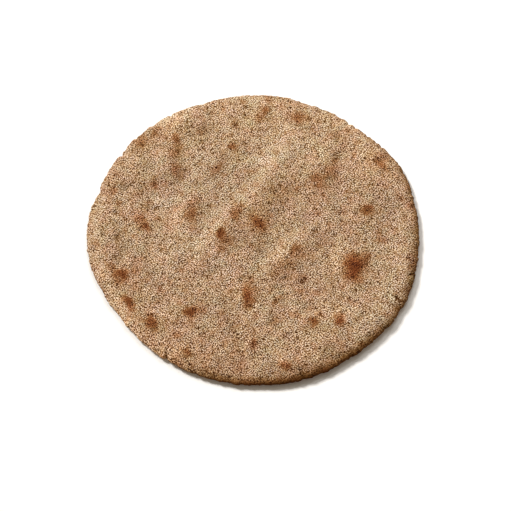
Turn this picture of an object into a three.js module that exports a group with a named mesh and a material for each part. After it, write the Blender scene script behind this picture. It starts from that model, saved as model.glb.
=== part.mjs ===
// A round, hand-patted wholegrain flatbread, lying on its flat underside.
// Millimetres, +Z up. Origin: middle of the footprint's box, on the plane the bread rests on.
import * as THREE from 'three';

// ---- Driving dimensions ----

const MEAN_RADIUS = 89.55;       // of the outline
const DOUGH_THICKNESS = 4.0;     // in the middle
const RIM_SWELL = 0.45;          // how much the ring just inside the edge is thicker
const RIM_CREST_INSET = 9.4;     // from the edge to the top of that ring
const RIM_CREST_SPREAD = 3.6;    // its half width
const TOP_SHOULDER = 6.5;        // width of the rounding at the top of the edge
const TOP_FLATNESS = 0.65;       // 0.5 rounds it as an ellipse, 1 as a parabola
const BOTTOM_SHOULDER = 1.7;     // width of the rounding at its bottom
const BOTTOM_FLATNESS = 0.5;     // which is a quarter circle
const EDGE_HEIGHT = 1.7;         // height of the outermost line over the bottom of the rim
const FLAT_RADIUS = 64;          // of the flat middle of the underside
const FLAT_CORE_RADIUS = 60;     // inside it, where the mesh grows coarse
const NOTCH = { direction: 239.3, depth: 2.0, spread: 1.5 };   // split in the edge, degrees and mm

// Slow waves of the outline: how many round the edge, height, direction of the first crest.
const OUTLINE_WAVES = [
  { count: 1, height: 1.05, direction: 38 },
  { count: 2, height: 0.73, direction: -35 },
  { count: 3, height: 0.44, direction: 41 },
  { count: 4, height: 0.4, direction: 6 },
  { count: 5, height: 0.37, direction: 33 },
  { count: 6, height: 0.28, direction: 21 },
  { count: 7, height: 0.44, direction: -23 },
];

// How the height and place of the ring inside the edge change round it, in the same form.
const SWELL_WAVES = [{ count: 2, height: 0.33, direction: 0 }];
const CREST_WAVES = [{ count: 1, height: 2.2, direction: 180 }];

// How far the underside of the rim stands off the table, as waves in the same form.
const RIM_LIFT = 0.55;
const RIM_LIFT_WAVES = [
  { count: 1, height: 0.4, direction: -48 },
  { count: 3, height: 0.12, direction: 70 },
];

// Long soft folds in the top, as the line of each crest. A spread is the fold's half width.
const FOLDS = [
  { crest: [[24, 61], [19, 51], [12, 39], [6, 25], [-3, 17]], height: 1.5, spread: 4.6 },
  { crest: [[-11, 10], [-18, 1], [-24, -8], [-28, -18]], height: 1.2, spread: 3.9 },
  { crest: [[36, 2], [26, -6], [17, -15], [9, -26]], height: 1.2, spread: 3.9 },
  { crest: [[-27, 52], [-29, 40], [-27, 28]], height: 0.6, spread: 3.3 },
  { crest: [[-36, 22], [-38, 12], [-38, 0], [-41, -12]], height: 1.2, spread: 3.9 },
  { crest: [[-43, 70], [-47, 56], [-48, 42], [-56, 32]], height: 0.9, spread: 3.5 },
  { crest: [[-5, 62], [-13, 52], [-20, 42]], height: 0.55, spread: 3.5 },
  { crest: [[50, 62], [45, 50], [40, 38]], height: 0.8, spread: 4.2 },
  { crest: [[62, 58], [57, 44], [52, 32]], height: 0.5, spread: 4.0 },
  { crest: [[33, 72], [30, 58], [29, 42], [26, 30]], height: 0.6, spread: 4.2 },
  { crest: [[6, -46], [3, -58], [0, -70]], height: 0.5, spread: 3.8 },
  { crest: [[-64, -8], [-61, -20], [-57, -30]], height: 0.45, spread: 4.4 },
  { crest: [[-14, -22], [-20, -36], [-22, -50]], height: 0.4, spread: 5.0 },
  { crest: [[34, -34], [26, -46], [22, -60]], height: 0.4, spread: 5.0 },
];

// Blisters, raised by steam: place of the middle, half width and height.
const BLISTERS = [
  { at: [54, -20], spread: 5.6, height: 0.75 },
  { at: [3, 5], spread: 4.4, height: 0.45 },
  { at: [-15, -5], spread: 4.2, height: 0.45 },
  { at: [-59, 5], spread: 4.2, height: 0.4 },
  { at: [-71, -26], spread: 4.4, height: 0.4 },
  { at: [-54, -56], spread: 4.4, height: 0.4 },
  { at: [-2, -38], spread: 4.0, height: 0.4 },
  { at: [-33, -48], spread: 4.4, height: 0.35 },
  { at: [62, 13], spread: 4.4, height: 0.35 },
  { at: [26, 73], spread: 4.4, height: 0.35 },
];

// Mesh density.
const INNER_RINGS = 26;                              // on the top, out to the shoulder
const MORE_POINTS = 6;                               // in each of them than in the one inside it
const SHOULDER_SHARES = [0.78, 0.56, 0.36, 0.18, 0.06, 0];   // rings on the rounding, from the edge
const HEEL_SHARES = [0.12, 0.45, 1];                 // and under it, as shares of that rounding
const UNDERSIDE_SHARES = [0.33, 0.66, 1];            // from there to the flat middle
const FLAT_CORE_POINTS = 24;

const CRUST = { color: 0xb8956f, roughness: 0.92, metalness: 0 };

// ---- Form ----

const toRadians = THREE.MathUtils.degToRad;
const bump = (distance, spread) => Math.exp(-0.5 * (distance / spread) ** 2);

function waves(list, angle) {
  let sum = 0;
  for (const { count, height, direction } of list) {
    sum += height * Math.cos(count * (angle - toRadians(direction)));
  }
  return sum;
}

function outlineRadius(angle) {
  const turn = angle - toRadians(NOTCH.direction);
  const fromNotch = MEAN_RADIUS * Math.atan2(Math.sin(turn), Math.cos(turn));
  return MEAN_RADIUS + waves(OUTLINE_WAVES, angle) - NOTCH.depth * bump(fromNotch, NOTCH.spread);
}

function rimLift(angle) {
  return RIM_LIFT + waves(RIM_LIFT_WAVES, angle);
}

// 0 over the flat middle, rising smoothly to 1 at the edge.
function liftShare(radius, edgeRadius) {
  return THREE.MathUtils.smoothstep(radius, FLAT_RADIUS, edgeRadius);
}

function distanceToLine(x, y, line) {
  const point = new THREE.Vector2(x, y);
  let nearest = Infinity;
  for (let i = 0; i + 1 < line.length; i += 1) {
    const start = new THREE.Vector2(...line[i]);
    const along = new THREE.Vector2(...line[i + 1]).sub(start);
    const share = THREE.MathUtils.clamp(point.clone().sub(start).dot(along) / along.lengthSq(), 0, 1);
    nearest = Math.min(nearest, point.distanceTo(start.addScaledVector(along, share)));
  }
  return nearest;
}

// Height of the top over the resting plane, as if the edge weren't rounded off.
function crownHeight(x, y, radius, edgeRadius, angle) {
  let height = DOUGH_THICKNESS + rimLift(angle) * liftShare(radius, edgeRadius);
  const fromCrest = edgeRadius - radius - RIM_CREST_INSET - waves(CREST_WAVES, angle);
  height += (RIM_SWELL + waves(SWELL_WAVES, angle)) * bump(fromCrest, RIM_CREST_SPREAD);
  for (const fold of FOLDS) {
    height += fold.height * bump(distanceToLine(x, y, fold.crest), fold.spread);
  }
  for (const blister of BLISTERS) {
    height += blister.height * bump(Math.hypot(x - blister.at[0], y - blister.at[1]), blister.spread);
  }
  return height;
}

// 0 at the outermost line, 1 where the rounding ends.
function roundness(share, flatness) {
  return (1 - (1 - Math.min(share, 1)) ** 2) ** flatness;
}

function topPoint(angle, inset) {
  const edgeRadius = outlineRadius(angle);
  const radius = edgeRadius - inset;
  const x = radius * Math.cos(angle);
  const y = radius * Math.sin(angle);
  const edgeHeight = rimLift(angle) + EDGE_HEIGHT;
  const crown = crownHeight(x, y, radius, edgeRadius, angle);
  return [x, y, edgeHeight + (crown - edgeHeight) * roundness(inset / TOP_SHOULDER, TOP_FLATNESS)];
}

// share is 0 at the outermost line and 1 at the bottom of the rim.
function heelPoint(angle, share) {
  const radius = outlineRadius(angle) - BOTTOM_SHOULDER * share;
  const z = rimLift(angle) + EDGE_HEIGHT * (1 - roundness(share, BOTTOM_FLATNESS));
  return [radius * Math.cos(angle), radius * Math.sin(angle), z];
}

// share is 0 at the bottom of the rim and 1 at the edge of the flat middle.
function undersidePoint(angle, share) {
  const edgeRadius = outlineRadius(angle);
  const radius = THREE.MathUtils.lerp(edgeRadius - BOTTOM_SHOULDER, FLAT_RADIUS, share);
  const z = rimLift(angle) * liftShare(radius, edgeRadius - BOTTOM_SHOULDER);
  return [radius * Math.cos(angle), radius * Math.sin(angle), z];
}

function flatPoint(angle) {
  return [FLAT_CORE_RADIUS * Math.cos(angle), FLAT_CORE_RADIUS * Math.sin(angle), 0];
}

// ---- Mesh: rings of points, stitched one to the next from the middle of the top
// ---- over the edge to the middle of the underside ----

const vertices = [];
const triangles = [];

function addRing(pointCount, pointAt) {
  const first = vertices.length;
  for (let i = 0; i < pointCount; i += 1) {
    vertices.push(pointAt((2 * Math.PI * i) / pointCount));
  }
  return { first, pointCount };
}

// Joins two rings of any two sizes, walking round both and always moving on the one that lags.
// A ring of one point has no side to walk along.
function stitch(ring, next) {
  const sides = (r) => (r.pointCount > 1 ? r.pointCount : 0);
  const pointOf = (r, i) => r.first + (i % r.pointCount);
  let i = 0;
  let j = 0;
  while (i < sides(ring) || j < sides(next)) {
    const nextLags = (j + 1) / next.pointCount <= (i + 1) / ring.pointCount;
    const a = pointOf(ring, i);
    const b = pointOf(next, j);
    if (i === sides(ring) || (j < sides(next) && nextLags)) {
      j += 1;
      triangles.push([a, b, pointOf(next, j)]);
    } else {
      i += 1;
      triangles.push([a, b, pointOf(ring, i)]);
    }
  }
}

const EDGE_POINTS = MORE_POINTS * INNER_RINGS;

function innerPoint(angle, share) {
  const edgeRadius = outlineRadius(angle);
  return topPoint(angle, edgeRadius - (edgeRadius - TOP_SHOULDER) * share);
}

function flatbreadGeometry() {
  let ring = addRing(1, () => innerPoint(0, 0));
  const join = (next) => {
    stitch(ring, next);
    ring = next;
  };
  for (let k = 1; k <= INNER_RINGS; k += 1) {
    join(addRing(MORE_POINTS * k, (angle) => innerPoint(angle, k / INNER_RINGS)));
  }
  for (const share of SHOULDER_SHARES) {
    join(addRing(EDGE_POINTS, (angle) => topPoint(angle, TOP_SHOULDER * share)));
  }
  for (const share of HEEL_SHARES) {
    join(addRing(EDGE_POINTS, (angle) => heelPoint(angle, share)));
  }
  for (const share of UNDERSIDE_SHARES) {
    join(addRing(EDGE_POINTS, (angle) => undersidePoint(angle, share)));
  }
  join(addRing(FLAT_CORE_POINTS, flatPoint));
  join(addRing(1, () => [0, 0, 0]));

  const geometry = new THREE.BufferGeometry();
  geometry.setAttribute('position', new THREE.Float32BufferAttribute(vertices.flat(), 3));
  geometry.setIndex(triangles.flat());
  geometry.computeBoundingBox();
  const middle = geometry.boundingBox.getCenter(new THREE.Vector3());
  geometry.translate(-middle.x, -middle.y, 0);
  geometry.computeVertexNormals();
  return geometry;
}

const flatbread = new THREE.Mesh(flatbreadGeometry(), new THREE.MeshStandardMaterial(CRUST));
flatbread.name = 'flatbread';

const group = new THREE.Group();
group.add(flatbread);

export default group;
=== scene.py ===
"""The looks of a round, hand-patted wholegrain flatbread.

The crumb-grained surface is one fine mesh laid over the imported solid: its outline, thickness,
folds and blisters come from the solid, and the grain, pits, cracks and scorch marks are made here.
Lengths here are in millimetres, and MM turns them into Blender's metres.
"""
import math

import bpy
import numpy as np
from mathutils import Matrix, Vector
from mathutils.bvhtree import BVHTree


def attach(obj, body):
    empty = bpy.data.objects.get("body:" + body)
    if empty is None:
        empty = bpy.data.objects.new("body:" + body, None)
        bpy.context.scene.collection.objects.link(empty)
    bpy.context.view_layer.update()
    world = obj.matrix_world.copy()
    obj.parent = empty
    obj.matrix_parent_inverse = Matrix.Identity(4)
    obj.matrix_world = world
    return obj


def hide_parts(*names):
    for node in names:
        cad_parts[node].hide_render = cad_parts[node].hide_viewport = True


MM = 0.001
SEED = 4948

# ---- Mesh density ----
TOP_RINGS = 151  # from the middle of the top out to the rounding of the edge
UNDERSIDE_RINGS = 52
RING_GROWTH = 6  # each ring of the top and of the underside has this many points more
EDGE_POINTS = RING_GROWTH * TOP_RINGS  # in each ring of the edge
SHOULDER_RINGS = 13  # over the rounding at the top of the edge
HEEL_RINGS = 4  # and at its bottom
JITTER = 0.25  # of a ring's radius at each point, as a share of the spacing

# ---- The edge, as in the solid ----
MEAN_RADIUS = 89  # of the outline
SHOULDER = 6.5  # width of the rounding at the top
FLATNESS = 0.65  # 0.5 rounds it as an ellipse, 1 as a parabola
HEEL = 1.7  # width of the rounding at the bottom, a quarter circle
EDGE_HEIGHT = 1.7  # of the outermost line over the bottom of the rim
SIDE_POWER = 4  # how late the rounding turns into the side, where the crumb is smoother
SIDE_RELIEF = 0.5  # of the top's relief is left on the side
HEEL_RELIEF = 0.4  # and at the bottom of the edge
OUTLINE_WAVES = 8  # how many slow waves describe the solid's outline
OUTLINE_SECTORS = 100  # the outermost vertex of each sector lies on the outline
LENGTH_STEPS = 200  # in which the length of the rounding is measured

# ---- Relief maps: square grids over the bread, seen from above, with the edge unrolled ----
CELL = 0.25
REACH = 104  # from the middle to each side
LAST_CELL = 1.001  # places past a map's end are read this many cells before it
SOLID_STEP = 1.0  # between the rays that measure the solid
SOLID_BLUR = 1.3  # takes its facets away
GRID_BLUR = 0.5  # takes away the corners between the rays
MEASURED = 0.55  # of the shoulder's width, from its inner end, is measured
HEEL_MARGIN = 0.3  # how far inside the heel the underside is measured

# Random waves of the top: wavelength and mean height.
UNDULATION = [(28, 0.13), (16, 0.11), (9, 0.09), (5, 0.05), (3, 0.02)]
WAVE_BLUR = 0.17  # spread of the blur that leaves waves of length 1
LONG_BLUR = 1.4  # the blur that finds longer waves, which are taken away, against that one

# The single grains of meal on the top.
MEAL_HEIGHT = 0.05
OWN_SHARE = 0.95  # how much a grain differs from the ones round it
OWN_ROUNDS = 2  # how often that is done
SPECK_SHARE = 0.05  # of the grains are dark specks
SPECK_DARKNESS = 1.5

# Random pits: how many, half widths, and depths as shares of the hole depth.
PITS = [(6500, (0.35, 0.75), (0.12, 0.6)), (420, (0.7, 1.3), (0.2, 0.65))]
PIT_LENGTHS = (1, 1.8)  # against their widths
PIT_REACH = 2  # how far a pit is drawn, in half lengths
PIT_FADE = (1.2, 3)  # factor and power of how it ends
DENT_REACH = 3  # the same for a dent from the table
DENT_FADE = (1, 2)
# The pits and cracks are also darkened in colour: partly darker crumb, partly painted shade in the
# hollows.
HOLE_DEPTH = 0.6  # of the pits and cracks, which are dark as well
CRACK_GAIN = 1.5  # how much deeper than the table says a crack is
CRACK_REACH = 14  # how far round its middle a crack is drawn

# The underside's relief: its share of the top's, its middle, and the most.
UNDER_RELIEF = 0.6
UNDER_MIDDLE = 0.05
UNDER_MOST = 0.4

# ---- Scorching, browning and flour, with painted shade and painted highlights ----
MARK_FADE = (1.1, 2.4)  # factor and power of how a mark ends
MARK_REACH = 2.6  # how far a mark is drawn, in half lengths
WARP = [(9, 0.5), (4, 0.3)]  # waves that make the marks uneven: length and mean shift
UNDER_MARKS = (90, (1.5, 5.0), (0.2, 0.9))  # of the underside: how many, sizes, strengths
HALO = 3.0  # spread of the faint browning round the marks
HALO_SHARE = 0.2
FAINT_SCORCH = 0.08  # between the marks
FAINT_WAVES = 9  # the length of its waves
FAINT_MOST = 3  # and their most, in standard deviations

# Where the side of the edge is brown and darker, partly real browning and partly painted shade
# on the side that faces away from the light: direction and spread in degrees, strength.
BROWN_AND_SHADE_EDGE = [(282, 30, 1.15), (335, 32, 0.34), (15, 40, 0.38)]
# The brown and the painted shade of the side reach up the rounding when this is below 1.
BROWN_AND_SHADE_RISE = 0.6  # below 1, the browning reaches up the rounding

# How much the flour bands with their painted highlight, and the brown, shade-painted side take away.
FLOUR_ON_RELIEF = 0.35
FLOUR_ON_HOLES = 0.6
FLOUR_ON_MEAL = 0.2
BROWN_AND_SHADE_ON_MEAL = 0.7

PATCH_UNITS = (100, 10, 10)  # of the large soft patches: light, grey, olive

# Where the two sides lie in the texture: middle and radius, as shares of its width.
TOP_DISC = (0.425, 0.425, 0.42)
UNDER_DISC = (0.84, 0.84, 0.15)

# ---- Light, floor and camera ----
CAMERA_ELEVATION = 62  # directions are in degrees, azimuths from +X
CAMERA_PLACE = (1.6, -341.4, 615.94)
LENS = 91.05
SENSOR = 36
CLIP_START = 20  # what is nearer to the camera isn't drawn
KEY_AZIMUTH = 138  # where the light comes from
KEY_ELEVATION = 38
KEY_SOFTNESS = 16  # the angle that it fills
KEY_STRENGTH = 3.7
KEY_COLOR = (1.0, 0.985, 0.96)
BACK_AZIMUTH = 75  # a near, wide light, so the far side is a little brighter
BACK_ELEVATION = 50
BACK_DISTANCE = 700
BACK_SIZE = 500
BACK_STRENGTH = 1.2
WORLD_COLOR = (1.0, 0.87, 0.7)
WORLD_STRENGTH = 0.3
FLOOR_SIZE = 6000
FLOOR_GAP = 0.02  # under the bread
FLOOR_COLOR = (0.95, 0.95, 0.95)
FLOOR_ROUGHNESS = 0.9

# ---- Material ----
GRAIN = 0.5  # size of the single grains of meal
GRAIN_REACH = 0.54  # how far off a grain's surroundings are read
FINE_SPECKS = 0.05  # the share of these grains that are dark
UNDER_GRAIN = 0.95  # on the underside, whose mesh is too coarse to carry the meal

# Noises: size and detail.
NOISES = {
    "flecks": (0.7, 0.0), "grit": (0.36, 0.0), "mottle": (2.6, 2.0), "clumps": (5.0, 1.0),
    "blush": (7.0, 2.5), "clouds": (14.0, 1.0), "tint": (22.0, 1.5),
}

# What the mesh says at each point.
ATTRIBUTES = ("meal", "pit", "scorch", "browned", "flour_and_highlight", "light", "grey", "olive", "under")

# Sums: the weight of each pattern, and the number that is added.
SUMS = {
    "grain": ({
        "meal": 1.05, "chance": 2.6, "around": -2.2, "specks": -1.5, "under_grain": 2.4,
        "flecks": 0.3, "grit": 1.0,
    }, -0.8),
    "coarseness": ({"clumps": 1.4, "flour_and_highlight": -0.1, "browned": -0.75, "scorch": -0.5}, 0.35),
    # The flour bands lighten the tone, partly as painted highlight where the folds and rim face the light.
    # The holes darken the tone: partly darker crumb, partly painted shade in the hollows.
    "tone": ({"grain": 0.97, "mottle": 0.3, "clouds": 0.14, "pit": -1.4, "flour_and_highlight": 0.12}, 0.85),
    "warmth": ({"tint": 0.5, "clumps": 0.15, "grey": 0.26}, 0.175),
    "hue": ({"blush": 1.0, "olive": 0.075}, 0.0),
    "speckle": ({"chance": 0.3, "mottle": 0.5, "meal": -0.12}, -0.4),
    "height": ({"flecks": 1.0, "grit": 1.0}, 0.0),
    "roughness": ({"grit": 0.2, "burnt": -0.12}, 0.8),
}

CRUMB_COLOR = (0.367, 0.2185, 0.1055)
TONES = [0.16, 0.28, 0.42, 0.58, 0.76, 1.0, 1.3, 1.7, 2.4]  # times that brightness
LIGHT_TONE = (1.0, 1.32, 1.86)  # how fast red, green and blue change with the tone above 1
DARK_TONE = (1.0, 1.39, 2.2)  # and below it

# What the colour is multiplied by at values of the sum of the same name.
WARMTH = [(0.25, (1.0, 0.93, 0.86)), (0.5, (1.0, 1.0, 1.0)), (0.75, (1.0, 1.07, 1.15))]
HUE = [(0.1, (1.075, 0.935, 1.0)), (0.9, (0.925, 1.065, 1.0))]

# Darkening: how fast red, green and blue fall, and how many times darker it gets, as a logarithm.
SCORCH_TONE = (1.0, 1.8, 2.65)
SCORCH_DEPTH = 1.05
SCORCH_SPECKLE = 2.2  # how uneven a mark is where it is weak
# Brown and painted shade of the side of the edge: how fast red, green and blue fall, and how many times
# darker it gets.
BROWN_AND_SHADE_TONE = (1.0, 1.5, 2.4)  # of the side of the edge
BROWN_AND_SHADE_DEPTH = 1.25
DARKENING_STEPS = 4
BUMP = 0.09  # height of the finest grain
SHEEN_LEVEL = 0.1
MIX_INPUTS = (6, 7)  # the colour sockets of a Mix node
MIX_OUTPUT = 2

# Scorch marks on the top: x, y, half width, half length, turn of the length from +Y to the left
# in degrees, strength. The strong ones are the dark tops of blisters.
SCORCHES = [
    (54.1, -22.7, 5.2, 7.4, 0, 1), (60.2, -17.4, 2.6, 3.6, 0, 0.5), (53.3, -22.6, 3.2, 5.4, 0, 0.8),
    (2.2, 4.4, 3.6, 5.4, 18, 0.75), (5, 6, 5.5, 5.5, 0, 0.15),
    (-17.4, -3, 2, 3.1, 10, 1), (-14.2, -6.8, 3.2, 3.2, 0, 0.3), (-16, -12, 2.4, 2, 0, 0.28),
    (-58.4, 2, 2.2, 3, 30, 0.7), (-62, 7, 2.6, 3.2, 40, 0.4), (-59, 13, 3.5, 3.5, 0, 0.12),
    (-33, 10.5, 3.2, 4.4, -8, 0.6), (-31.5, 17.5, 2.4, 3.4, -30, 0.16), (-33, 3, 2, 4, 0, 0.1),
    (-9.5, 10.5, 2.4, 4.2, 15, 0.52), (-6, 15, 1.9, 1.4, 0, 0.35),
    (-69.6, -27.4, 3.6, 2.7, 0, 0.85), (-75.5, -22.5, 2, 3, 40, 0.35), (-71, -32, 2, 2.8, 0, 0.32),
    (-63, -22, 2, 3.2, -20, 0.2),
    (-65, -44.6, 1.9, 4.2, 25, 0.9), (-53.2, -55.5, 2.4, 4.6, 28, 0.85),
    (-32.6, -49, 3.3, 2.7, 0, 0.95), (-27.5, -48, 3.6, 2.8, 0, 0.16),
    (-3, -40.3, 2.8, 5.8, 0, 1), (-3, -40.3, 2, 4.2, 0, 0.7),
    (-1, -33, 1.9, 4, 0, 0.28), (1, -38, 3.6, 6.5, 0, 0.15),
    (-34, -73, 2.2, 2, 0, 0.6), (0.5, -68, 1.8, 4, 0, 0.5), (0, -60, 1, 2.2, 0, 0.2),
    (31, -55, 2.3, 2.5, 0, 1), (45.2, -53.8, 2.8, 2.8, 0, 1), (62, 13, 3.3, 2.9, 0, 0.75),
    (26.5, 72.4, 4.6, 4.2, 0, 0.52), (6.8, 76, 2.2, 3.8, -20, 0.46),
    (-10, 68, 1.8, 2.1, 0, 0.34), (-43.2, 58, 1.7, 3.4, 0, 0.5), (-43.4, 49, 3, 5, 0, 0.3),
    (-42.5, 38, 3.5, 4.4, 0, 0.36), (-63, 56, 3, 4, -40, 0.42), (-55, 62.5, 2.4, 2.4, 0, 0.45),
    (-11.6, 53.6, 2.8, 2.1, 20, 0.55), (-20.2, 38, 2.5, 4.8, -25, 0.42), (-17, 48, 2.6, 3.2, -30, 0.2),
    (-54.5, 29, 2.1, 2.3, 0, 0.4), (-62, 24.3, 2.6, 1.5, 0, 0.24), (-76.3, 25.6, 1.8, 2.4, 0, 0.34),
    (-79, 23, 2, 3, 0, 0.16), (-74, 16.4, 1.3, 2.6, 0, 0.55), (35, 32.3, 4.2, 2.9, 0, 0.42),
    (42.5, 38.5, 3.6, 6.4, -30, 0.26), (38.5, 26.5, 4.2, 4, 0, 0.12), (71.4, 41, 2.4, 4.2, 35, 0.42),
    (47, 60.5, 3, 3.2, 0, 0.24), (22.3, -12.6, 2.1, 4.2, -30, 0.54), (19, -21, 5, 4, 0, 0.28),
    (12, -26.5, 2.6, 2.6, 0, 0.22), (25.5, -14.5, 3.5, 4, -30, 0.2), (24, 26, 1.6, 3, 0, 0.34),
    (14.5, 22.5, 8, 7, 0, 0.22), (4, -8, 3, 4.5, 0, 0.15),
    (17, -80, 2.8, 2.8, 0, 0.84), (-18, -77, 1.5, 2, 0, 0.3), (68, -4, 2.6, 5, 0, 0.3),
    (-49, -36, 1.6, 1.9, 0, 0.34), (-28.5, 65, 4, 3.8, 0, 0.17), (-71, -11, 2.2, 2, 0, 0.2),
    (-74, -3, 3.5, 5.5, 0, 0.1), (36, -5, 4.5, 3, -30, 0.13), (12, -42, 1.3, 1.6, 0, 0.25),
    (45.5, 34, 1.8, 2, 0, 0.3), (-41, 54, 1.8, 2, 0, 0.2), (65, 11, 2.5, 2.5, 0, 0.25),
]

# Pale and smooth places, most of them on the crests of the folds, partly flour and partly painted
# highlight on the slopes that face the light: a line, half width, strength.
FLOUR_AND_HIGHLIGHT = [
    ([(27, 78), (22, 62), (14, 50)], 6.5, 0.5),
    ([(14, 50), (7, 38), (1, 27)], 4.8, 1),
    ([(1, 27), (-7, 19), (-15, 12), (-24, 5)], 4, 0.7),
    ([(-24, 5), (-32, -3), (-38, -10)], 3.4, 0.6),
    ([(-42, 19), (-42, 8), (-44, -2)], 3.4, 1),
    ([(30, 4), (22, -2), (14, -12), (7, -21)], 3.4, 0.9),
    ([(-44, 78), (-50, 68)], 5, 0.9),
    ([(-37, 47), (-34, 37), (-27, 22)], 2.6, 0.6),
    ([(-54, 50), (-52, 40)], 2.6, 0.6),
    ([(56, 68), (66, 56)], 5, 0.6),
    ([(-86, 12), (-86, -4)], 4, 0.9),
    ([(-84, -18), (-79, -32)], 3.2, 0.9),
    ([(-73, -39), (-64, -52)], 3, 0.8),
    ([(80, 10), (81, -5), (75, -25), (67, -37)], 3.4, 0.7),
    ([(45, -11), (43, -19)], 2.4, 0.6),
    ([(-8, 84), (8, 85)], 3, 0.7),
    ([(60, -60), (70, -46)], 4, 0.4),
    ([(-4, -80), (6, -76), (20, -72)], 4, 0.8),
]
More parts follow.
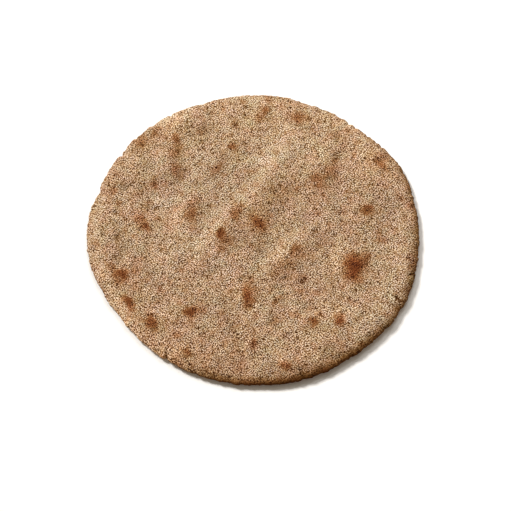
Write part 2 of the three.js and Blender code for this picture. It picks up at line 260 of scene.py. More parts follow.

# Large soft patches: x, y, half width, half length, how much lighter in percent, how much greyer
# and how much more olive in tenths, and the turn. Zeros at the end of a row are left out.
# The lightness is partly the crumb's own uneven tone and partly painted light and shade: the lit
# and shaded sides of the folds and the rim, and a lighter far side.
TONE_AND_SHADE_PATCHES = [
    (-28, -10, 13, 9, 12, 11), (5, 45, 8, 5, 18, 12), (16, 58, 5, 8, 4, 10), (-1, 63, 3, 3, 20),
    (-25, -16, 5, 4, 0, 8), (-50, 20, 10, 5, 0, 8), (-67, 16, 6, 6, 6, 6), (-10, -24, 8, 8, 0, 7),
    (-12, -32, 14, 6, 5, 5), (-20, 32, 14, 10, 0, 6), (-12, 18, 8, 6, 0, 8), (18, 14, 9, 9, 0, 6),
    (60, 48, 7, 9, 16, 5), (34, 46, 8, 6, 14, 3), (-46, -22, 7, 7, 8, 5), (77, -22, 4, 6, 0, 8),
    (62, -55, 10, 6, 0, 7), (74, -36, 7, 12, 0, 7, 0, 25), (-50, -32, 8, 5, 0, 6),
    (-20, -50, 10, 8, -6, 5), (20, -10, 4, 2.5, 10), (17, -17, 2.5, 4, 8), (-4, -37, 5, 3, 10, 4),
    (50, 54, 4, 3, 12), (54, 46, 2.5, 3, 10), (63, 37, 2, 7, 8), (-57, -53, 6, 2, 12, 0, 0, 10),
    (-57, -63, 8, 3, 10, 0, 0, -30), (-70, 7, 3, 3, 10), (-38, 67, 2.5, 8, 8), (51, -7, 4, 3, -12),
    (66, 19, 2.5, 6, -8), (63, -46, 4, 2, -10), (-18, -19, 2, 4, -10), (-57, 3, 3, 6, -10),
    (-65, -36, 3, 7, -10), (-72, 43, 4, 5, -10), (4, 45, 4, 3, -8), (23, -12, 4, 3, 0, 10),
    (44, -52, 3, 4, 0, 8), (31, -54, 3, 2.5, 0, 8), (-3, -44, 3, 4, 0, 8), (-18, -1, 3, 2, 0, 8),
    (30, -28, 6, 4, 0, -8), (67, 44, 3, 4, 0, -8), (-42, 67, 4, 8, 0, -6), (-62, 50, 8, 6, 0, -5),
    (48, -11, 5, 4, 30, 4), (43, -20, 4, 6, 16), (14, 28, 7, 6, 8, 4), (-22, -10, 4, 6, 18),
    (8, 75, 12, 8, 8, -5), (-15, 70, 10, 12, 8), (44, -50, 5, 4, 34), (-43, -70, 8, 4, 18, -4),
    (-78, 12, 5, 8, 13), (-43, 70, 7, 7, 20, 2), (36, 71, 16, 4, 15, 0, 0, 20),
    (-66, -52, 5, 12, 20, 0, 0, 35), (-41, 8, 4, 7, 16), (-67, -20, 3, 4, 12), (-16, 58, 5, 4, 28, 5),
    (10, 62, 5, 3, 14), (31, 56, 6, 5, 22), (8, 19, 3, 3, 26), (-8, -36, 5, 5, 18),
    (15, -17, 5, 4, 24, 8), (-65, 43, 4, 3, 18, 8), (-34, 46, 4, 4, 16, 8), (-33, 20, 3, 4, 28),
    (50, 54, 3, 4, 12), (-44, 34, 6, 6, -14, -9), (-39, 39, 4, 5, -14), (-48, -51, 8, 3, 18),
    (-62, 36, 6, 8, -6, -5), (-57, 4, 9, 6, 0, -10), (-42, 55, 5, 5, -8, -10), (-27, 62, 4, 8, -14, -10),
    (-25, 78, 7, 4, 0, -6), (28, 68, 7, 5, -10, -4), (42, 30, 4, 6, -26, -12), (46, 44, 3, 9, -16, -6),
    (32, -12, 8, 5, 0, -8), (24, -30, 10, 6, -10, -3), (-52, -58, 9, 6, -8, -14),
    (-6, -75, 6, 9, -14, -16, 0, -20), (40, -72, 8, 6, -24, -8), (-30, -76, 9, 4, -10, -12),
    (12, -53, 5, 6, -10, -6), (68, 4, 7, 9, -10, 6), (78, 15, 5, 14, -16, 5), (-69, -10, 5, 4, -18),
    (-27, 8, 4, 8, -18, 0, 0, -25), (-11, -8, 8, 5, -22), (5, -5, 4, 3, -15),
    (40, -8, 3, 9, -20, 0, 0, -35), (5, -14, 3, 3, -24), (23, -25, 8, 6, -14, 5), (-12, -60, 4, 5, -18),
    (-60, 27, 12, 3, -14), (-62, 64, 7, 5, -14), (44, 14, 4, 7, -14, 4), (28, 6, 5, 4, -18),
    (12, 10, 4, 6, -18), (24, 25, 4, 3, -12), (42, -36, 4, 3, -18), (-56, -21, 3, 6, -16, 3, 0, -30),
    (-20, -56, 5, 3, 18), (-58, 40, 3, 4, -22, -6), (-18, 44, 4, 6, -12), (20, -81, 16, 4, -32, -7),
    (-17, -77, 4, 4, -32, -5), (-28, -52, 6, 4, -14), (1, -69, 3, 3, -20), (47, -60, 4, 6, -16),
    (-23, -25, 4, 4, -24), (-62, 55, 4, 4, -10, -10), (72, 38, 5, 10, 0, -10, 0, 25),
    (52, 66, 5, 12, 16, 0, 0, 38), (-3, 14, 4, 4, 14), (-19, 1, 3, 4, 26, 11),
    (-67, -57, 2.5, 16, 55, 0, 0, 40), (-47, -75, 2.5, 12, 70, 0, 0, 58), (-14, 4, 4, 4, 0, -5),
    (51, 21, 3, 6, 0, 8), (-50, -50, 5, 4, 0, 5), (-69, 7, 3, 3, 15), (-67, 39, 3, 3, 30),
    (-37, 74, 3, 5, 14, 6), (-30, 57, 3, 3, 10), (-67, -23, 4, 4, 18, 10), (-49, -12, 3, 3, 15),
    (22, -28, 3, 3, 24), (21, -50, 3, 2, 15, 10), (14, -78, 3, 3, 34), (-2, -65, 3, 3, 10),
    (38, 68, 4, 5, 12), (14, 63, 4, 3, 10), (27, -32, 2, 2, -20, -10), (-37, -52, 2, 2, -16),
    (-10, 5, 3, 2, -10), (-7, -6, 3, 2, -10), (8, 63, 3, 2, -12), (46, 34, 2.5, 2.5, -10),
    (52, -6, 3, 3, -12), (15, 20, 3, 2, -10), (18, -45, 2, 3, -14), (-38, -39, 2, 2, -14),
    (14, -57, 2, 2, -16), (22, 68, 2, 2, -10), (68, -12, 3, 4, -12), (3, 14, 5, 5, 0, -14),
    (53.3, -22.8, 3.2, 5.4, 0, -30), (61, -20, 2.6, 2.6, 0, -8), (-13, -4, 3, 3, 0, -10),
    (-8, -8, 3, 3, 0, -10), (5, -6, 4, 4, 0, -8), (-54, 64, 4, 3, 0, -16), (-62, 58, 4, 4, 0, -12),
    (-71, -22, 2, 4, 0, -10), (-30, -52, 4, 2, 0, -10), (-73, 41, 2, 3, 0, -10), (80, 16, 3, 8, 0, -8),
    (40, -35, 3, 3, 0, -10), (34, -37, 3, 2, 0, 8), (-63, -17, 3, 3, 0, 10), (-56, 15, 3, 3, 0, 8),
    (-32, 32, 4, 5, 0, 8), (38, 15, 3, 5, 0, 8), (17, 27, 2, 2, 0, 8), (52, 66, 3, 4, 0, 8),
    (-56, -52, 3, 3, 0, 8), (-45, 15, 7, 4, 0, 6), (-68, 8, 4, 4, 0, 7), (24, -19, 3, 3, -10, -12),
    (15, -25, 4, 3, 0, -7), (-62, -35, 5, 9, 0, -8, 0, 20), (-50, -61, 5, 3, 0, -6),
    (73, 12, 3, 4, 0, -7), (42, 10, 3, 4, 0, -7), (-36, 14, 3, 3, 0, -8), (33, 68, 3, 4, 0, -7),
    (13, 47, 6, 5, 0, 5), (57, 60, 5, 6, 0, 6), (60, -15, 2.5, 2.5, 0, 8), (47, 10, 3, 4, 0, 5),
    (-31, 47, 5, 4, 0, 5), (33, 52, 8, 4, 14), (18, 33, 4, 3, 14), (1, 22, 2, 2, 15),
    (-10, 16, 4, 3, 16), (-47, 62, 4, 8, 16), (-41, 6, 3, 3, 12), (-9, -18, 3, 3, 14),
    (-48, -22, 4, 5, 10), (30, -52, 8, 2.4, 20), (1, -50, 3, 3, 12), (28, -70, 4, 3, 20, 7),
    (65, 5, 4, 2.5, 12), (77, 0, 3, 4, 12), (9, -29, 3, 2, 12), (-80, -28, 3, 5, 30, 0, 0, 20),
    (3, 72, 2, 3, 24), (-27, 66, 3, 4, -12), (47, 60, 3, 4, -12), (-40, 34, 5, 5, -10),
    (-20, 33, 4, 4, -10), (48, 20, 2, 6, -12), (72, 20, 6, 9, -10), (57, -25, 5, 3, -10),
    (70, -3, 3, 3, -10), (-59, -28, 3, 5, -10, 0, 0, -20), (-71, -16, 3, 4, -10), (19, -34, 3, 3, -10),
    (57, -39, 3, 3, -10), (57, -58, 4, 3, -12), (8, -76, 2.5, 4, -14), (-20, -45, 3, 3, -10),
    (-12, 75, 3, 4, 13, 6), (-17, 82, 5, 3, 16), (15, 81, 5, 3, 18), (-2, 63, 3, 2, 12),
    (42, 65, 3, 3, 14), (36, 35, 5, 3, 12), (-33, -17, 3, 3, 12), (-20, -10, 3, 4, 12),
    (-61, 29, 3, 2, 14), (48, -25, 2.5, 4, 12, 6), (49, -40, 4, 2, 14), (-22, -72, 3, 3, 14),
    (-53, 63, 3, 3, -18, -5), (-5, 32, 4, 2.5, -18), (54, 3, 3, 2.5, -18), (28, 7, 3, 4, -8),
    (34, 23, 3, 3, -10, -8), (5, -14, 3, 3, -10, -5), (63, -20, 3, 3, -12), (-18, -18, 2, 3, -10),
    (-74, 5, 2, 4, -12), (27, -30, 4, 3, -8), (-48, -4, 3, 3, -10), (-25, -65, 5, 3, -12, -8),
    (-12, -62, 2, 3, -10), (-8, -78, 5, 4, -14), (21, -75, 4, 2, -10), (50, -63, 6, 3, -10),
    (83, -5, 3, 5, -12), (-8, 53, 3, 2, -12), (-8, 68, 3, 2, -10), (7, 63, 3, 2, -10),
    (67, 47, 4, 3, 0, -18), (-77, 30, 3, 3, 0, -11), (-55, -18, 3, 4, 0, -10), (-28, 21, 3, 4, 0, -8),
    (33, -62, 9, 3, 0, -8), (-34, -73, 4, 4, 0, -7), (57, -17, 2.5, 2.5, 0, 10), (47, -17, 3, 3, 0, 7),
    (0, -55, 4, 4, 0, 7), (-3, -36, 3, 3, 0, 6), (-26, -17, 3, 4, 0, 7), (14, 63, 4, 3, 0, 7),
    (-11, 12, 2, 5, 0, 7), (-52, 5, 5, 3, 0, 6, 0, -30), (-82, 17, 3, 4, 0, 10), (61, 12, 3, 2, 0, 6),
    (-72, -43, 3, 4, 20, 0, 0, 25), (22, 0, 14, 3, -7), (-3, -6, 8, 2.5, -10), (-60, -6, 3, 3, 12),
    (27, -45, 3, 3, -10), (-37, 28, 9, 3, -10), (34, -21, 2.5, 8, -9), (71, -24, 6, 4, -10),
    (-72, -20, 4, 4, -10), (28, 79, 5, 2.5, 0, -5), (0, 58, 60, 24, 0, 0, 10), (4, 25, 12, 12, 0, 0, 6),
    (48, 20, 14, 10, 0, 0, -13, 30), (80, 13, 8, 16, 0, 0, -13), (-13, -27, 9, 7, 0, 0, -14),
    (27, -33, 14, 10, 0, 0, -12), (-51, 27, 10, 8, 0, 0, -10), (-31, -63, 10, 8, 0, 0, -10),
    (-57, -47, 10, 8, 0, 0, -7), (35, -63, 22, 8, 0, 0, 9), (68, -40, 10, 12, 0, 0, 8),
    (-77, -37, 6, 12, 0, 0, 4),
]

# Cracks and creases, also darkened in colour, partly as painted shade in them: a line, the depth at
# its start and end, and the half width.
CRACKS = [
    ([(-44.2, -77.5), (-44.9, -73.5), (-44.7, -70.8), (-43.6, -69), (-42.9, -67.2)], 1.1, 0.2, 0.42),
    ([(88.5, -26), (86, -26.4), (83.8, -27.4), (82.2, -28.6)], 1.1, 0.4, 0.4),
    ([(43.4, 46.2), (46.4, 48.4), (49.6, 49.9), (52.6, 49.4)], 0.4, 0.42, 0.5),
    ([(44.6, 43.8), (46.6, 46.2), (47.6, 48.6)], 0.34, 0.34, 0.42),
    ([(2.6, 63.5), (4.4, 65.6), (6, 66.4)], 0.42, 0.36, 0.48),
    ([(7.4, 64.2), (9, 66), (10.4, 66.4)], 0.4, 0.34, 0.45),
    ([(32.2, -2.2), (33.6, -0.2), (35.2, 1)], 0.25, 0.28, 0.5),
    ([(25.4, -32.2), (26.8, -30.6), (28, -29.6)], 0.28, 0.2, 0.45),
    ([(75.4, -40.8), (76.4, -42.2), (77.4, -43.4)], 1.2, 0.9, 0.7),
    ([(0.6, -23.6), (0.4, -25.4), (0.6, -27.4)], 0.25, 0.15, 0.35),
    ([(3.2, -10.4), (4.4, -12), (5.4, -12.4)], 0.22, 0.16, 0.42),
    ([(-78.4, -17.6), (-77, -19), (-75.8, -19.2)], 0.24, 0.2, 0.4),
    ([(-76.2, -21.2), (-74.8, -22.6), (-74, -24)], 0.24, 0.2, 0.4),
    ([(54.8, 50.6), (56, 52.4), (57.4, 52.6)], 0.34, 0.3, 0.42),
]

# Small dark dents, their darkness partly painted shade: x, y, half width, half length, turn, depth.
DENTS = [
    (26, -31.3, 1.4, 2, -40, 0.8), (33.3, -0.8, 1.3, 2.2, -50, 0.9), (3.5, -12.3, 1.2, 1.8, -50, 0.45),
    (12, -42.6, 1.1, 1.5, 0, 0.65), (23.3, -56.3, 1, 1.2, 0, 0.4), (7, -76.2, 0.8, 2.4, 80, 0.3),
    (42.1, -70.5, 1, 1.2, 0, 0.35), (-1.8, -27.6, 1, 2.4, -60, 0.4), (0.2, -66.6, 0.9, 2.2, 0, 0.4),
    (68.8, -35.5, 1, 1.2, 0, 0.3), (0.9, -60.9, 0.9, 1.6, 0, 0.35), (-27.8, 52, 1.1, 1.7, 0, 0.75),
    (-4.1, 79.8, 1.3, 1.5, 0, 0.75), (-9.8, 67.9, 1.6, 1.8, 0, 0.7), (33.3, 64.5, 1.2, 1.4, 0, 0.4),
    (40, 52, 1, 1.6, 0, 0.4), (46.8, 45.9, 0.9, 3.4, -45, 0.45), (43.8, 14.8, 1, 1.6, 0, 0.4),
    (-37.1, -19.9, 1, 1.6, 0, 0.35), (9, 14, 0.9, 1.4, 0, 0.35), (-15.9, -12.3, 0.9, 2.4, 60, 0.35),
    (5.7, 25.9, 0.9, 1.4, 0, 0.35), (8.6, 65.3, 0.8, 2.6, -45, 0.45), (-54.3, 29.1, 1.3, 1.6, 0, 0.5),
    (-7.3, 14.8, 1, 1.4, 0, 0.4), (-75, 10.5, 1.2, 2.2, 0, 0.6), (-63, 22, 0.9, 2.6, -60, 0.35),
]

# Raggedness of the outline: spread of the blur that makes it and its mean height.
EDGE_WAVES = [(3.0, 0.14), (1.2, 0.17), (0.5, 0.13)]

# Little breaks in the edge: direction in degrees, how deep the outline goes in, half width.
EDGE_BREAKS = [
    (239.3, 1.2, 0.9), (122, 1.4, 0.8), (146.4, 1.1, 1.2), (137.6, 0.6, 0.9), (163.5, 1.1, 1.6),
    (109, 0.6, 1), (52, 0.9, 1.1), (49, 0.7, 0.7), (43.5, 0.6, 0.9), (36.8, 0.7, 1), (344, 0.7, 0.5),
    (329, 0.4, 0.8), (324.5, 0.5, 0.7), (319.5, 0.5, 1), (314, 0.6, 0.8), (309, 0.4, 1),
    (302.5, 0.4, 0.8), (287, 0.35, 1), (266, 0.35, 0.9), (254, 0.4, 0.8), (222, 0.4, 1),
]


# ---- Maps ----

AXIS = np.arange(-REACH, REACH + CELL / 2, CELL)
MAP_X, MAP_Y = np.meshgrid(AXIS, AXIS)
RANDOM = np.random.default_rng(SEED)


def blurred(field, spread, step=CELL):
    """A Gaussian blur over all directions, by Fourier transform. The spread and step are in mm."""
    waves = [np.fft.fftfreq(field.shape[0], step)[:, None], np.fft.rfftfreq(field.shape[1], step)]
    smoothing = np.exp(-2 * (math.pi * spread) ** 2 * (waves[0] ** 2 + waves[1] ** 2))
    return np.fft.irfft2(np.fft.rfft2(field) * smoothing, field.shape)


def noise(wavelength):
    """Random waves of about that length, with a standard deviation of 1."""
    spread = wavelength * WAVE_BLUR
    field = blurred(RANDOM.standard_normal(MAP_X.shape), spread)
    field -= blurred(field, spread * LONG_BLUR)
    return field / field.std()


def ring_noise(spread):
    """Random unevenness round the edge, by a blur of that spread, with a standard deviation of 1."""
    step = math.tau * MEAN_RADIUS / EDGE_POINTS
    field = blurred(RANDOM.standard_normal((1, EDGE_POINTS)), spread, step)[0]
    return field / field.std()


def near(x, y, reach):
    """The part of a map within reach of a place, as slices, with the distances from it."""
    columns, rows = (np.searchsorted(AXIS, (v - reach, v + reach)) for v in (x, y))
    part = (slice(*rows), slice(*columns))
    return part, MAP_X[part] - x, MAP_Y[part] - y


def at(field, x, y):
    """A map's values at places in mm, between its cells."""
    column, row = (np.clip((v + REACH) / CELL, 0, len(AXIS) - LAST_CELL) for v in (x, y))
    i, j = row.astype(int), column.astype(int)
    u, v = row - i, column - j
    low = field[i, j] * (1 - v) + field[i, j + 1] * v
    high = field[i + 1, j] * (1 - v) + field[i + 1, j + 1] * v
    return low * (1 - u) + high * u


def ellipse_distance(dx, dy, half_width, half_length, turn):
    """0 in the middle and 1 on the outline. turn is in degrees, from +Y to the left."""
    c, s = math.cos(math.radians(turn)), math.sin(math.radians(turn))
    return np.hypot((dx * c + dy * s) / half_width, (dy * c - dx * s) / half_length)


def line_distance(x, y, line):
    """Distance to a line of points, and how far along it the nearest place is, from 0 to 1."""
    best = np.full(np.shape(x), np.inf)
    where = np.zeros(np.shape(x))
    for i, ((ax, ay), (bx, by)) in enumerate(zip(line, line[1:])):
        ux, uy = bx - ax, by - ay
        share = np.clip(((x - ax) * ux + (y - ay) * uy) / (ux * ux + uy * uy), 0, 1)
        distance = np.hypot(x - ax - share * ux, y - ay - share * uy)
        closer = distance < best
        best[closer] = distance[closer]
        where[closer] = ((i + share) / (len(line) - 1))[closer]
    return best, where


def marks(table):
    """Soft-edged uneven marks that add up towards 1. A row's last value is its strength."""
    field = np.zeros(MAP_X.shape)
    warp_x, warp_y = (sum(shift * noise(length) for length, shift in WARP) for _ in range(2))
    for x, y, half_width, half_length, turn, strength in table:
        part, dx, dy = near(x, y, MARK_REACH * max(half_width, half_length))
        distance = ellipse_distance(dx + warp_x[part], dy + warp_y[part], half_width, half_length, turn)
        field[part] = 1 - (1 - field[part]) * (1 - strength * faded(distance, MARK_FADE))
    return field


def faded(distance, fade):
    """1 in the middle, and towards 0 outside."""
    factor, power = fade
    return np.exp(-factor * distance**power)


def with_halo(scorch):
    """The marks with the faint browning round them and between them."""
    halo = HALO_SHARE * blurred(scorch, HALO) + FAINT_SCORCH * np.clip(noise(FAINT_WAVES), 0, FAINT_MOST)
    return np.clip(1 - (1 - scorch) * (1 - halo), 0, 1)


def random_marks(count, radii, strengths):
    """A table of marks anywhere on the bread."""
    places = RANDOM.uniform(-REACH, REACH, (count, 2))
    sizes = RANDOM.uniform(*radii, (count, 2))
    turns, strength = RANDOM.uniform(0, 180, count), RANDOM.uniform(*strengths, count)
    return np.column_stack([places, sizes, turns, strength])


def patches(table):
    """Three maps: how much lighter, greyer and more olive the large soft patches are. The lightness is
    partly painted light and shade.
    """
    fields = np.zeros((len(PATCH_UNITS), *MAP_X.shape))
    for row in table:
        x, y, half_width, half_length, *amounts, turn = (*row, 0, 0, 0)[:8]
        share = np.exp(-ellipse_distance(MAP_X - x, MAP_Y - y, half_width, half_length, turn) ** 2)
        for field, amount, unit in zip(fields, amounts, PATCH_UNITS):
            field += amount / unit * share
    return fields


def bands(table):
    """Soft bands along lines, which add up towards 1 as the marks do."""
    field = np.zeros(MAP_X.shape)
    for line, half_width, strength in table:
        distance, _ = line_distance(MAP_X, MAP_Y, line)
        field = 1 - (1 - field) * (1 - strength * np.exp(-((distance / half_width) ** 2)))
    return field


def random_pits(count, radii, depths):
    """Rows of a table of small pits. Shallow ones are the most common."""
    for _ in range(count):
        x, y = RANDOM.uniform(-REACH, REACH, 2)
        radius, depth = RANDOM.uniform(*radii), np.interp(RANDOM.random() ** 2, (0, 1), depths)
        yield x, y, radius, radius * RANDOM.uniform(*PIT_LENGTHS), RANDOM.uniform(0, 180), depth


def dents(table, reach, fade):
    """Pits or dents, as depths. reach is how far they are drawn, in half lengths."""
    field = np.zeros(MAP_X.shape)
    for x, y, half_width, half_length, turn, depth in table:
        part, dx, dy = near(x, y, reach * half_length)
        distance = ellipse_distance(dx, dy, half_width, half_length, turn)
        field[part] = np.maximum(field[part], depth * faded(distance, fade))
    return field


def cracks():
    """The cracks and creases, as depths."""
    field = np.zeros(MAP_X.shape)
    for line, first_depth, last_depth, half_width in CRACKS:
        x, y = np.mean(line, axis=0)
        part, dx, dy = near(x, y, CRACK_REACH)
        distance, where = line_distance(dx + x, dy + y, line)
        depth = CRACK_GAIN * (first_depth + (last_depth - first_depth) * where)
        field[part] = np.maximum(field[part], depth * np.exp(-((distance / half_width) ** 2)))
    return field


# ---- The solid under the surface ----


def polar(mesh):
    """Angle and radius of each of a mesh's vertices, in radians and mm."""
    place = np.array([v.co[:] for v in mesh.vertices]) / MM
    return np.arctan2(place[:, 1], place[:, 0]), np.hypot(place[:, 0], place[:, 1])


def harmonics(angle):
    """One column for the mean and two for each slow wave of the outline."""
    turns = np.outer(angle, np.arange(1, OUTLINE_WAVES + 1))
    return np.hstack([np.ones((len(turns), 1)), np.cos(turns), np.sin(turns)])


def slow_outline(mesh):
    """The solid's outline from above as the weights of its slow waves, without its split."""
    angle, radius = polar(mesh)
    sector = np.floor(angle * OUTLINE_SECTORS / math.tau).astype(int)
    rim = [np.flatnonzero(sector == k)[radius[sector == k].argmax()] for k in np.unique(sector)]
    return np.linalg.lstsq(harmonics(angle[rim]), radius[rim], rcond=None)[0]


def shoulder_drop(share):
    """Height over the edge along the rounding, from 1 at its inner end, share 0, to 0 at the edge."""
    return (1 - np.clip(share, 0, 1) ** 2) ** FLATNESS


def solid_heights(mesh, outline):
    """Maps of the solid's top and bottom in mm, as if its edge weren't rounded off."""
    tree = BVHTree.FromPolygons([v.co for v in mesh.vertices], [p.vertices for p in mesh.polygons])
    steps = np.arange(-REACH, REACH + SOLID_STEP / 2, SOLID_STEP)
    x, y = np.meshgrid(steps, steps)
    angle, radius = np.arctan2(y, x), np.hypot(x, y)
    edge = (harmonics(angle.ravel()) @ outline).reshape(angle.shape)

    def heights(reach, way):
        """Where rays up or down first meet the solid, at most at a reach from its middle."""
        found = np.empty(angle.shape)
        for i in np.ndindex(angle.shape):
            r = min(radius[i], reach[i]) * MM
            start = Vector((r * math.cos(angle[i]), r * math.sin(angle[i]), -way))
            found[i] = tree.ray_cast(start, Vector((0, 0, way)))[0].z / MM
        return found

    outermost = edge - (1 - MEASURED) * SHOULDER
    bottom = heights(edge - HEEL - HEEL_MARGIN, 1)
    share = 1 - (edge - np.minimum(radius, outermost)) / SHOULDER
    edge_height = bottom + EDGE_HEIGHT
    top = edge_height + (heights(outermost, -1) - edge_height) / shoulder_drop(share)
    return [refined(blurred(field, SOLID_BLUR, SOLID_STEP), steps) for field in (top, bottom)]


def refined(coarse, steps):
    """A coarse map brought to the fine grid, straight from cell to cell, and smoothed."""
    rows = np.array([np.interp(AXIS, steps, row) for row in coarse])
    return blurred(np.array([np.interp(AXIS, steps, column) for column in rows.T]).T, GRID_BLUR)


# ---- The bread's surface ----


def edge_radii(outline):
    """The outline at the points of the edge, with its raggedness and small breaks."""
    angle = round_angles(EDGE_POINTS)
    radius = harmonics(angle) @ outline
    for spread, height in EDGE_WAVES:
        radius += height * ring_noise(spread)
    for direction, depth, half_width in EDGE_BREAKS:
        turn = (angle - math.radians(direction) + math.pi) % math.tau - math.pi
        radius -= depth * np.exp(-((turn * radius / half_width) ** 2))
    return radius


def round_angles(number, start=0.0):
    """Angles of the points of a ring. start is the first one's, as a share of the spacing."""
    return (np.arange(number) + start) * (math.tau / number)


class Surface:
    """Rings of points, each stitched to the one before it, and what is known at each point."""

    def __init__(self):
        self.places, self.unrolled, self.side, self.faces = [], [], [], []
        self.last = None
        self.count = 0
        self.first_under_point = None
        self.first_under_face = None

    def add_ring(self, angle, radius, height, unrolled_radius, side=0.0):
        """unrolled_radius is measured along the surface. side is 1 on the edge's outermost line."""
        around = np.stack([np.cos(angle), np.sin(angle)], 1)
        self.places.append(np.column_stack([around * np.reshape(radius, (-1, 1)), height]))
        self.unrolled.append(around * np.reshape(unrolled_radius, (-1, 1)))
        self.side.append(np.full(len(angle), side))
        ring = (self.count, len(angle), angle[0] / math.tau)
        self.count += len(angle)
        if self.last is not None:
            self.stitch(self.last, ring)
        self.last = ring

    def stitch(self, inner, outer):
        """Walks round both rings, always on with the one that lags. One of one point has no sides."""
        (a0, inner_number, inner_start), (b0, outer_number, outer_start) = inner, outer
        inner_sides = inner_number if inner_number > 1 else 0
        outer_sides = outer_number if outer_number > 1 else 0
        i = j = 0
        while i < inner_sides or j < outer_sides:
            a, b = a0 + i % inner_number, b0 + j % outer_number
            outer_lags = (j + 1) / outer_number + outer_start <= (i + 1) / inner_number + inner_start
            if i == inner_sides or (j < outer_sides and outer_lags):
                j += 1
                self.faces.append((a, b, b0 + j % outer_number))
            else:
                i += 1
                self.faces.append((a, b, a0 + i % inner_number))


def edge_at(edge, angle):
    """The edge's radius in any direction."""
    return np.interp(angle, round_angles(EDGE_POINTS), edge, period=math.tau)


def height_at(field, angle, radius):
    return at(field, radius * np.cos(angle), radius * np.sin(angle))


def surface_mesh(top, bottom, relief, edge):
    """The whole closed surface. The maps are of heights, and edge is the outline's radii."""
    surface = Surface()
    add_top(surface, top, relief, edge)
    add_edge(surface, top, bottom, relief, edge)
    surface.first_under_point = surface.count
    surface.first_under_face = len(surface.faces)
    add_underside(surface, bottom, relief, edge)
    return surface


def add_top(surface, top, relief, edge):
    for k in range(TOP_RINGS + 1):
        angle = round_angles(max(RING_GROWTH * k, 1), RANDOM.random() if k < TOP_RINGS else 0)
        shares = k + RANDOM.uniform(-JITTER, JITTER, len(angle)) * (0 < k < TOP_RINGS)
        radius = (edge_at(edge, angle) - SHOULDER) * shares / TOP_RINGS
        height = height_at(top, angle, radius) + height_at(relief, angle, radius)
        surface.add_ring(angle, radius, height, radius)


def add_edge(surface, top, bottom, relief, edge):
    """The rounding at the top of the edge, and then the one at its bottom."""
    angle = round_angles(EDGE_POINTS)
    edge_height = height_at(bottom, angle, edge - HEEL) + EDGE_HEIGHT
    fall = np.mean(height_at(top, angle, edge) - edge_height)
    for share, length in even_shares(fall):
        radius = edge - SHOULDER * (1 - share)
        unrolled = edge - SHOULDER + length
        side = share**SIDE_POWER
        bump = height_at(relief, angle, unrolled) * (1 - (1 - SIDE_RELIEF) * side)
        height = edge_height + (height_at(top, angle, radius) - edge_height) * shoulder_drop(share)
        surface.add_ring(angle, radius + bump * side, height + bump * (1 - side), unrolled, side)
    for k in range(1, HEEL_RINGS + 1):
        turn = math.pi / 2 * k / HEEL_RINGS
        bump = height_at(relief, angle, unrolled + HEEL * turn) * HEEL_RELIEF
        radius = edge - HEEL * (1 - math.cos(turn)) + bump * math.cos(turn)
        height = edge_height - (EDGE_HEIGHT + bump) * math.sin(turn)
        surface.add_ring(angle, radius, np.maximum(height, 0), unrolled + HEEL * turn, 1.0)


def add_underside(surface, bottom, relief, edge):
    for k in range(UNDERSIDE_RINGS - 1, -1, -1):
        angle = round_angles(max(RING_GROWTH * k, 1), RANDOM.random())
        radius = (edge_at(edge, angle) - HEEL) * k / UNDERSIDE_RINGS
        roughness = UNDER_RELIEF * height_at(relief, angle, radius) + UNDER_MIDDLE
        height = height_at(bottom, angle, radius) + np.clip(roughness, 0, UNDER_MOST)
        surface.add_ring(angle, radius, height, radius)


def even_shares(fall):
    """Places along the rounding, in even steps along it: shares of its width, and lengths up to there."""
    shares = np.linspace(0, 1, LENGTH_STEPS)
    steps = np.hypot(np.diff(SHOULDER * shares), np.diff(fall * shoulder_drop(shares)))
    lengths = np.concatenate([[0], np.cumsum(steps)])
    wanted = np.linspace(0, lengths[-1], SHOULDER_RINGS + 1)[1:]
    return zip(np.interp(wanted, lengths, shares), wanted)


def meal_grain(faces, number):
    """A random number for each point, unlike its neighbours'. A few are far below the others."""
    grain = RANDOM.standard_normal(number)
    neighbours = np.bincount(faces.ravel(), minlength=number)
    for _ in range(OWN_ROUNDS):
        around = sum(np.bincount(faces[:, k], grain[faces[:, k - 1]], number) for k in range(3))
        grain -= OWN_SHARE * around / neighbours
    specks = RANDOM.exponential(SPECK_DARKNESS, number) * (RANDOM.random(number) < SPECK_SHARE)
    return grain / grain.std() - specks


def point_normals(places, faces):
    a, b, c = (places[faces[:, k]] for k in range(3))
    across = np.cross(b - a, c - a)
    normals = np.zeros(places.shape)
    for k in range(3):
        np.add.at(normals, faces[:, k], across)
    return normals / np.linalg.norm(normals, axis=1, keepdims=True)


def edge_brown_and_shade(direction):
    """How brown and dark the side of the edge is, up to 1, in directions in degrees: partly real browning,
    partly painted shade where the side faces away from the light.
    """
    away = [((direction - middle + 180) % 360 - 180) / spread for middle, spread, _ in BROWN_AND_SHADE_EDGE]
    return np.clip(sum(row[2] * np.exp(-(x**2)) for row, x in zip(BROWN_AND_SHADE_EDGE, away)), 0, 1)


